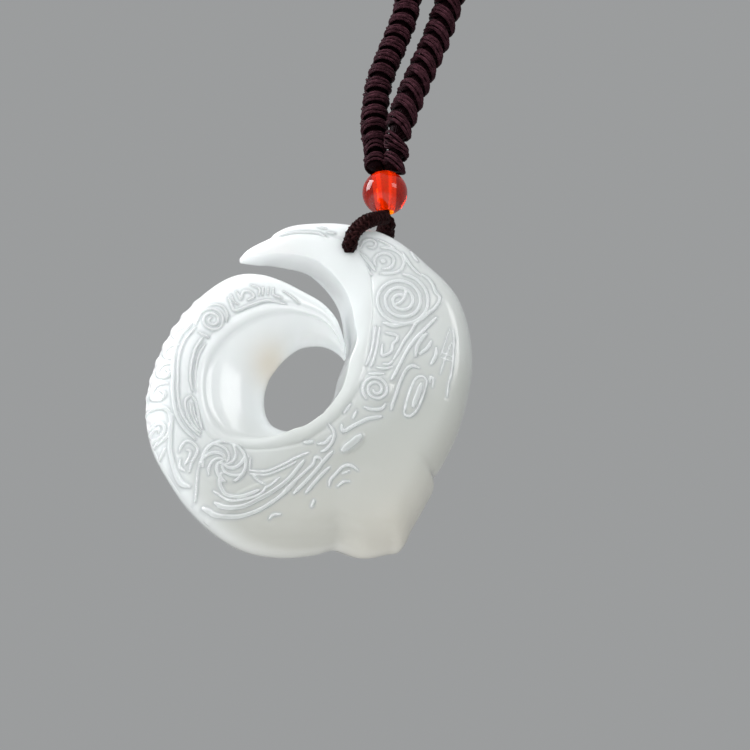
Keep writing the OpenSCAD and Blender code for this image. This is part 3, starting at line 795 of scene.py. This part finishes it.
def whirl_lines():
    turn = np.linspace(0, 1, 9)
    made = []
    for k in range(BLADES):
        angle = np.radians(BLADE_PITCH * k + BLADE_START + BLADE_SWEEP * turn ** 0.8)
        made.append([BLADE_HALVES[k % 2], *arc(WHIRL, WHIRL_HUB + (WHIRL_R - 0.55) * turn, angle)])
    made.append([0.28, *arc(WHIRL, WHIRL_R, np.radians(np.linspace(-50, 205, 24)))])
    return made


LINES += whirl_lines()
LINE_H = 0.14
GROOVE_H = 0.04
LINE_SHARE = 0.8
# A line slopes over this range of distances from its edge, with a fine groove along its foot
LINE_SLOPE = (0.1, -0.13)
GROOVE_AT = 0.2
GROOVE_R = 0.13
END_TAPER = 0.55
TAPER_L = 0.7
SHORT_L = 1
FULL_HALF = 0.13
FAR = 9.0
# Low mounds that carry scrolls and leaves, as in the part's own solid: place, half sizes and turn
MOUNDS = [
    (0.402, 0.62, 0.18, 0.18, 0), (0.362, 0.075, 0.088, 0.088, 0), (-0.366, -0.536, 0.125, 0.125, 0),
    (-0.59, 0.244, 0.08, 0.08, 0), (0.585, 0.088, 0.12, 0.04, 80), (0.49, 0.3, 0.21, 0.04, 68),
    (0.292, -0.262, 0.085, 0.036, 53), (-0.2, -0.69, 0.24, 0.04, 40),
]
MOUND_H = 0.16
MOUND_SLOPE = (1.12, 0.85)


def line_distance(x, z):
    """Distance to the edge of the nearest raised line, negative on the line, and the share of its height."""
    best, tall = np.full(x.shape, FAR), np.ones(x.shape)
    for half, *places in LINES:
        half = half * LINE_SHARE
        rows = np.reshape(places, (-1, 2))
        rows = np.column_stack([rows, np.zeros(len(rows)), np.full(len(rows), half)])
        length = np.hypot(*np.diff(rows[:, :2], axis=0).T).sum()
        path, run = smooth_path(rows, 0.3 if length > 0.6 else 0.1)
        end = np.minimum(run, run[-1] - run)
        width = half * (END_TAPER + (1 - END_TAPER) * smoothstep(0, TAPER_L, end))
        if length < SHORT_L:
            width[:] = half
        reach = half + 1
        lo, hi = path[:, :2].min(0) - reach, path[:, :2].max(0) + reach
        near = np.nonzero((x > lo[0]) & (x < hi[0]) & (z > lo[1]) & (z < hi[1]))[0]
        px, pz, d = x[near], z[near], np.full(len(near), FAR)
        for a, b, wa, wb in zip(path[:-1], path[1:], width[:-1], width[1:]):
            ux, uz = b[0] - a[0], b[1] - a[1]
            t = np.clip(((px - a[0]) * ux + (pz - a[1]) * uz) / (ux * ux + uz * uz + 1e-12), 0, 1)
            d = np.minimum(d, np.hypot(px - a[0] - t * ux, pz - a[1] - t * uz) - (wa + t * (wb - wa)))
        closer = d < best[near]
        best[near[closer]] = d[closer]
        tall[near[closer]] = min(1, half / FULL_HALF)
    return best, tall


def relief(x, z):
    """Height of the lines and of the mounds under them, and the distance to the lines' edges."""
    edge, tall = line_distance(x, z)
    groove = GROOVE_H * np.exp(-((edge - GROOVE_AT) / GROOVE_R) ** 2)
    lines = tall * (LINE_H * smoothstep(*LINE_SLOPE, edge) - groove)
    mounds = np.zeros(x.shape)
    for mid_x, mid_z, long, short, turn in MOUNDS:
        u, v = x / REACH - mid_x, z / REACH - mid_z
        c, s = math.cos(math.radians(turn)), math.sin(math.radians(turn))
        d = np.hypot((u * c + v * s) / long, (v * c - u * s) / short)
        mounds = np.maximum(mounds, MOUND_H * smoothstep(*MOUND_SLOPE, d))
    return lines, mounds, np.clip(edge, -1, 1)


# Points beside the outer rim that stay free of relief
RIM_POINTS = 5
BORDER_GROOVE_H = 0.16
BORDER_GROOVE_R = 0.28
BORDER_BULGE = 0.1
# Border and groove fade out where the arm gets this thin, and the groove stops short of the whirl
FADE = (0.6, 2.5)
WHIRL_CLEAR = (2.7, 3.3)
# Scallops along the left rim: where they start and end, their pitch and the points that they reach over
EDGE_WAVE_H = 0.16
EDGE_WAVE_START = (-146, -154)
EDGE_WAVE_END = (-214, -206)
EDGE_WAVE_PITCH = 7.2
EDGE_WAVE_REACH = (26, 8)


def jade_carving(material):
    """The carving: rings of points round its sections, with the relief on their front and a plain back."""
    s = columns_at(ring_directions())
    radius, height = front_rows(s)
    rings, across = radius.shape
    angle = np.radians(s[:, ANG])[:, None]
    x, z = radius * np.cos(angle), radius * np.sin(angle)
    front = np.stack([x, -height, z], -1)
    # Outward direction of the front
    by_ring = np.gradient(front, axis=0)
    by_place = np.gradient(front, axis=1)
    normal = np.cross(by_place, by_ring)
    size = np.linalg.norm(normal, axis=-1, keepdims=True)
    normal = np.where(size > 1e-9, normal / np.maximum(size, 1e-9), [0, -1.0, 0])
    normal *= np.sign(-normal[..., 1:2] + 1e-9)
    # Relief lines, the border's rounded band and the groove along it
    lines, mounds, edge = (field.reshape(x.shape) for field in relief(x.ravel(), z.ravel()))
    place = np.arange(across)[None, :]
    on_field = smoothstep(SLOPE_STEPS + BORDER_STEPS - 3, SLOPE_STEPS + BORDER_STEPS + 1, place)
    off_rim = 1 - smoothstep(across - RIM_POINTS, across - 1, place)
    edge = np.clip(edge + 1.2 * (1 - on_field * off_rim), -1, 1)
    lift = (lines + mounds) * on_field * off_rim
    face = THICK * s[:, FACE][:, None]
    fade = smoothstep(*FADE, face)
    past = radius - REACH * s[:, FIELD][:, None]
    wide = REACH * (s[:, OUT] - s[:, FIELD])[:, None]
    groove_at = np.minimum(0.5, 0.08 * wide + 0.1)
    on_border = np.clip((place - SLOPE_STEPS) / BORDER_STEPS, 0, 1)
    clear = smoothstep(*WHIRL_CLEAR, np.hypot(x - WHIRL[0], z - WHIRL[1]))
    groove = np.exp(-((past - groove_at) / BORDER_GROOVE_R) ** 2) * (past > -1)
    lift -= clear * fade * BORDER_GROOVE_H * groove
    lift += fade * BORDER_BULGE * np.sin(math.pi * on_border)
    turn = s[:, ANG][:, None]
    beside = smoothstep(*EDGE_WAVE_START, turn) * smoothstep(*EDGE_WAVE_END, turn)
    wave = np.cos(np.radians(turn * 360 / EDGE_WAVE_PITCH))
    lift += EDGE_WAVE_H * beside * wave * smoothstep(*(across - k for k in EDGE_WAVE_REACH), place)
    front = front + lift[..., None] * normal
    # Plain back, from the outer edge to the inner one
    back_place = np.concatenate([np.linspace(across - RIM_POINTS, SLOPE_STEPS + 1, BACK_STEPS),
                                 np.linspace(SLOPE_STEPS - 2, 2, WALL_STEPS)]).round().astype(int)
    back = np.stack([x, height, z], -1)[:, back_place]
    points = np.concatenate([front, back], 1)
    count = points.shape[1]
    warmth = stone_warmth(points)
    # Painted light by place, lighter where the stone is thin and towards the upper left
    painted_light = stone_painted_light(points, np.concatenate([height, height[:, back_place]], 1))
    edge = np.concatenate([edge, np.ones(back.shape[:2])], 1)
    points[..., 0] += OPENING[0]
    points[..., 2] += OPENING[1]
    polygons = grid_faces(rings, count).tolist()
    flat = points.reshape(-1, 3)
    for row, way in ((0, -1), (rings - 1, 1)):
        ring = row * count + np.arange(count)
        fan = np.stack([ring, np.roll(ring, -1), np.full(count, len(flat))], 1)
        polygons += fan[:, ::way].tolist()
        flat = np.vstack([flat, flat[ring].mean(0)])
    values = {"warmth": np.append(warmth.ravel(), [0, 0]), "painted_light": np.append(painted_light.ravel(), [0.9, 0.9]),
              "edge": np.append(edge.ravel(), [1, 1])}
    thing = add_mesh("jade_relief", hung(flat), polygons, values=values)
    drill(thing)
    dress(thing, "pendant", "jade", material, "jade_carving")


def stone_warmth(points):
    """How warm the stone looks: more by the horn's thin inner edge and low on the right."""
    x, z = points[..., 0], points[..., 2]
    edge = np.exp(-(((x + 5.2) / 3.0) ** 2 + ((z - 2.6) / 3.2) ** 2))
    low = smoothstep(6, 26, 0.55 * x - 0.85 * z)
    right = 0.6 * smoothstep(17, 25, np.hypot(x, z)) * smoothstep(14, -10, z) * smoothstep(4, 14, x)
    return np.clip(0.75 * edge + 0.25 * low + 0.25 * right, 0, 1)


def stone_painted_light(points, height):
    """Painted light on the stone: lighter where it is thin and to the upper left, towards the lamps, darker
    to the lower right.
    """
    x, z = points[..., 0], points[..., 2]
    thin = 1 - height / (THICK / 2)
    to_light = 0.7 * (np.minimum(z, 10) - x)
    return np.clip(0.3 + 0.028 * to_light + 0.35 * smoothstep(0.1, 0.8, thin), 0, 1)


DRILL_STEPS = 48
HOLE_RIM = 0.05
SHARP_ANGLE = math.radians(62)


def drill(thing):
    """Cuts the thread's hole, which runs square through the faces, and gives its wall plain values."""
    steps = DRILL_STEPS
    turn = full_turn(steps)
    ends = np.array([-THICK, THICK])
    ring = np.stack([THREAD_HOLE_R * np.cos(turn), 0 * turn, THREAD_HOLE_R * np.sin(turn)], 1)
    points = hung(np.concatenate([ring + [0, y, 0] for y in ends]))
    sides = grid_faces(2, steps)
    mesh = bpy.data.meshes.new("drill")
    ends = [list(range(steps))[::-1], list(range(steps, 2 * steps))]
    mesh.from_pydata((points * MM).tolist(), [], sides.tolist() + ends)
    tool = make_object("drill", mesh)
    cut = thing.modifiers.new("drill", "BOOLEAN")
    cut.operation = "DIFFERENCE"
    cut.solver = "EXACT"
    cut.object = tool
    graph = bpy.context.evaluated_depsgraph_get()
    made = bpy.data.meshes.new_from_object(thing.evaluated_get(graph))
    thing.modifiers.clear()
    thing.data = made
    bpy.data.objects.remove(tool)
    places = np.empty(3 * len(made.vertices))
    made.vertices.foreach_get("co", places)
    at_hole = np.hypot(*(places.reshape(-1, 3) / MM - PIVOT)[:, [0, 2]].T) < THREAD_HOLE_R + HOLE_RIM
    # Plain values on the hole's wall: no relief edge, a middling painted light and no warmth
    for key, value in (("edge", 1.0), ("painted_light", 0.6), ("warmth", 0.0)):
        found = np.empty(len(made.vertices), dtype=np.float32)
        made.attributes[key].data.foreach_get("value", found)
        found[at_hole] = value
        made.attributes[key].data.foreach_set("value", found)
    made.set_sharp_from_angle(angle=SHARP_ANGLE)


# Bead, on the thread over the carving
BEAD_D = 6.4
BORE_D = 2.1
BEAD_AT = np.array([3.8, 0, 11.1])
BEAD_TILT = math.radians(14)
MOUTH_ROUND = 0.12
OUTSIDE_POINTS = 40
MOUTH_POINTS = 4
BORE_POINTS = 8
BEAD_STEPS = 72


def agate_bead(material):
    """A turned bead: the outline runs down the bore, over a rounded mouth and round the outside."""
    bore, r, soft = BORE_D / 2, BEAD_D / 2, MOUTH_ROUND
    low = math.asin((bore + soft) / r)
    outside = np.linspace(low, math.pi - low, OUTSIDE_POINTS)
    top = r * math.cos(low)
    mouth = [(bore + soft * (1 - math.cos(a)), soft * (math.sin(a) - 1))
             for a in np.linspace(0.3, 1.4, MOUTH_POINTS)]
    outline = [(bore, h) for h in np.linspace(-top + 0.3, top - 0.3, BORE_POINTS)]
    outline += [(x, top + y) for x, y in mouth]
    outline += [(r * math.sin(a), r * math.cos(a)) for a in outside]
    outline += [(x, -top - y) for x, y in reversed(mouth)]
    outline = np.array(outline)
    steps = BEAD_STEPS
    turn = full_turn(steps)
    ring = np.stack([outline[:, :1] * np.cos(turn), outline[:, :1] * np.sin(turn),
                     np.repeat(outline[:, 1:], steps, 1)], -1)
    c, s = math.cos(BEAD_TILT), math.sin(BEAD_TILT)
    tilted = np.stack([ring[..., 0] * c - ring[..., 2] * s, ring[..., 1],
                       ring[..., 2] * c + ring[..., 0] * s], -1)
    faces = grid_faces(len(outline), steps, closed_rows=True)[:, ::-1]
    in_bore = np.repeat((outline[:, 0] < bore + 0.5 * soft).astype(float), steps)
    thing = add_mesh("polished_bead", hung(tilted.reshape(-1, 3) + BEAD_AT), faces, values={"bore": in_bore})
    dress(thing, "root", "agate", material, "agate_bead")


# Braided thread through the carving and up into the bead
THREAD_D = 2.0
FACE_AT_HOLE = 3.7
LEG_Y = FACE_AT_HOLE + THREAD_D / 2 + 0.2
END_R = BORE_D / 4 - 0.1
END_SHARE = END_R / (THREAD_D / 2)
MOUTH = math.sqrt((BEAD_D / 2) ** 2 - (BORE_D / 2) ** 2)
THREAD_STEP = 0.12
CARRIERS = 5
LAY = 3.4
PLY_R = 0.27
CROSSING = 0.11
THREAD_CORE_SHARE = 0.72


def thread_rows():
    """Places along the thread and its radius as a share, front leg then back leg."""
    axis = np.array([-math.sin(BEAD_TILT), 0, math.cos(BEAD_TILT)])
    low, high = BEAD_AT - MOUTH * axis, BEAD_AT + MOUTH * axis
    shift, rise = END_R + 0.04, THREAD_HOLE_R - THREAD_D / 2 - 0.2
    front = [
        [high[0], -shift, high[2], END_SHARE], [low[0], -shift, low[2], END_SHARE],
        [low[0] - 0.25, -0.95, low[2] - 1.1, 0.88], [4.0, -2.0, 6.5, 0.97], [3, -LEG_Y + 1.5, 5.6, 0.95],
        [2.1, -LEG_Y + 0.6, 4.7, 1], [1.2, -LEG_Y + 0.1, 3.8, 1], [0.4, -LEG_Y, 2.6, 1], [0, -LEG_Y, 1.6, 1],
        [0, -LEG_Y + 0.3, 0.8, 1], [0, -LEG_Y + 1.3, rise, 1],
    ]
    back = [
        [0, LEG_Y - 1.3, rise, 1], [0.2, LEG_Y - 0.3, 0.75, 1], [0.7, LEG_Y, 1.2, 1],
        [1.8, LEG_Y + 0.1, 1.8, 1], [3.2, LEG_Y + 0.25, 2.6, 1], [4.6, LEG_Y + 0.3, 3.7, 1],
        [5.4, LEG_Y + 0.1, 4.9, 1.15], [5.45, LEG_Y - 0.6, 5.95, 1.25], [5.35, 3.1, 6.6, 1.25],
        [5.1, 2, 6.85, 1.1], [low[0] + 0.75, 0.7, low[2] - 1.1, 0.95], [low[0], shift, low[2], END_SHARE],
        [high[0], shift, high[2], END_SHARE],
    ]
    return front + back


def pendant_thread(material):
    """A round braid: threads that wind both ways and pass over and under each other round a core."""
    path, run = smooth_path(thread_rows(), THREAD_STEP)
    along = unit(np.gradient(path[:, :3], axis=0))
    ref = np.array([1.0, 0, 0])
    first = unit(ref - (along @ ref)[:, None] * along)
    second = np.cross(along, first)
    radius = path[:, 3] * THREAD_D / 2
    lines, sizes, refs = [], [], []
    for way in (1, -1):
        for k in range(CARRIERS):
            place = 2 * math.pi * k / CARRIERS
            turn = way * 2 * math.pi * run / LAY + place
            over = CROSSING * way * np.cos(CARRIERS * (2 * math.pi * run / LAY + way * place))
            r = radius * (1 - PLY_R * 0.95) + radius * over
            out = np.cos(turn)[:, None] * first + np.sin(turn)[:, None] * second
            lines.append(path[:, :3] + r[:, None] * out)
            sizes.append(radius * PLY_R)
            refs.append(out)
    braid = tubes(np.array(lines), np.array(sizes), np.array(refs), BRAID_SIDES)
    core = tubes(*capped(path[None, ::3, :3], THREAD_CORE_SHARE * radius[None, ::3]), ref, CORE_SIDES)
    points, *rest = join_parts([(*core, 0.0), (*braid, PROUD)])
    thing = add_mesh("braided_thread", hung(points), *rest)
    dress(thing, "root", "thread", material, "pendant_thread")


# Floor and light

FLOOR_Z = -450.0
FLOOR_HALF = 4000.0
FLOOR_COLOUR = (0.92, 0.92, 0.91)
FLOOR_SHADE = tuple(0.97 * c for c in FLOOR_COLOUR)


def make_floor(material):
    """A wide pale floor under the hanging necklace. The plain light all round it is the world's."""
    points = np.array([[x, y, FLOOR_Z] for y in (-FLOOR_HALF, FLOOR_HALF) for x in (-FLOOR_HALF, FLOOR_HALF)])
    floor = add_mesh("floor", points, np.array([[0, 1, 3, 2]]))
    floor.data.materials.append(material)


LIGHT_TARGET = (2.0, 0, -12.0)
COOL = (0.96, 0.98, 1.0)
WHITE = (1, 1, 1)
# Direction in the camera's axes (right, up, back), distance, size, power, colour and whether gloss mirrors it
SOFTBOXES = {
    "window": ((-0.84, 0.5, -0.2), 450, (230, 280), 1.6, COOL, True),
    "right": ((0.68, 0.57, 0.45), 520, (210, 170), 0.4, WHITE, True),
    "top": ((-0.1, 1, 0.1), 450, (400, 260), 0.6, COOL, False),
    "top_front": ((-0.15, 0.75, 0.6), 480, (700, 450), 1.35, WHITE, False),
    "left_up": ((-0.79, 0.6, 0.3), 450, (200, 200), 0.35, WHITE, False),
}
WORLD_COLOUR = (0.94, 0.96, 0.97, 1)
WORLD_STRENGTH = 0.35


def add_softbox(name, direction, distance, size, power, colour, mirrored):
    """An area light that looks at the carving."""
    target = hung(LIGHT_TARGET)
    way = unit(sum(d * axis for d, axis in zip(unit(direction), camera_axes())))
    place = target + way * distance
    light = bpy.data.lights.new(name, "AREA")
    light.shape = "RECTANGLE"
    light.size, light.size_y = size[0] * MM, size[1] * MM
    light.energy = power
    light.color = colour
    thing = make_object(name, light)
    thing.location = place * MM
    thing.rotation_mode = "QUATERNION"
    thing.rotation_quaternion = Vector(-way).to_track_quat("-Z", "Y")
    thing.visible_glossy = mirrored


def make_light():
    for name, facts in SOFTBOXES.items():
        add_softbox(name, *facts)
    world = bpy.data.worlds.new("studio")
    world.use_nodes = True
    background = world.node_tree.nodes["Background"].inputs
    background["Color"].default_value = WORLD_COLOUR
    background["Strength"].default_value = WORLD_STRENGTH
    bpy.context.scene.world = world
    bpy.context.scene.view_settings.view_transform = "Standard"


make_camera()
cord_look = cord_material("knotted_cord", *CORD_THREAD)
winding = nape_binding(cord_look)
knotted_cord("knotted_cord_left", LEFT_ROUTE, LEFT_STYLE, "cord_left", cord_look)
knotted_cord("knotted_cord_right", RIGHT_ROUTE, RIGHT_STYLE, "cord_right", cord_look)
pendant_thread(cord_material("braided_thread", *FINE_THREAD))
agate_bead(agate_material())
jade_carving(jade_material())
make_floor(floor_material())
make_light()
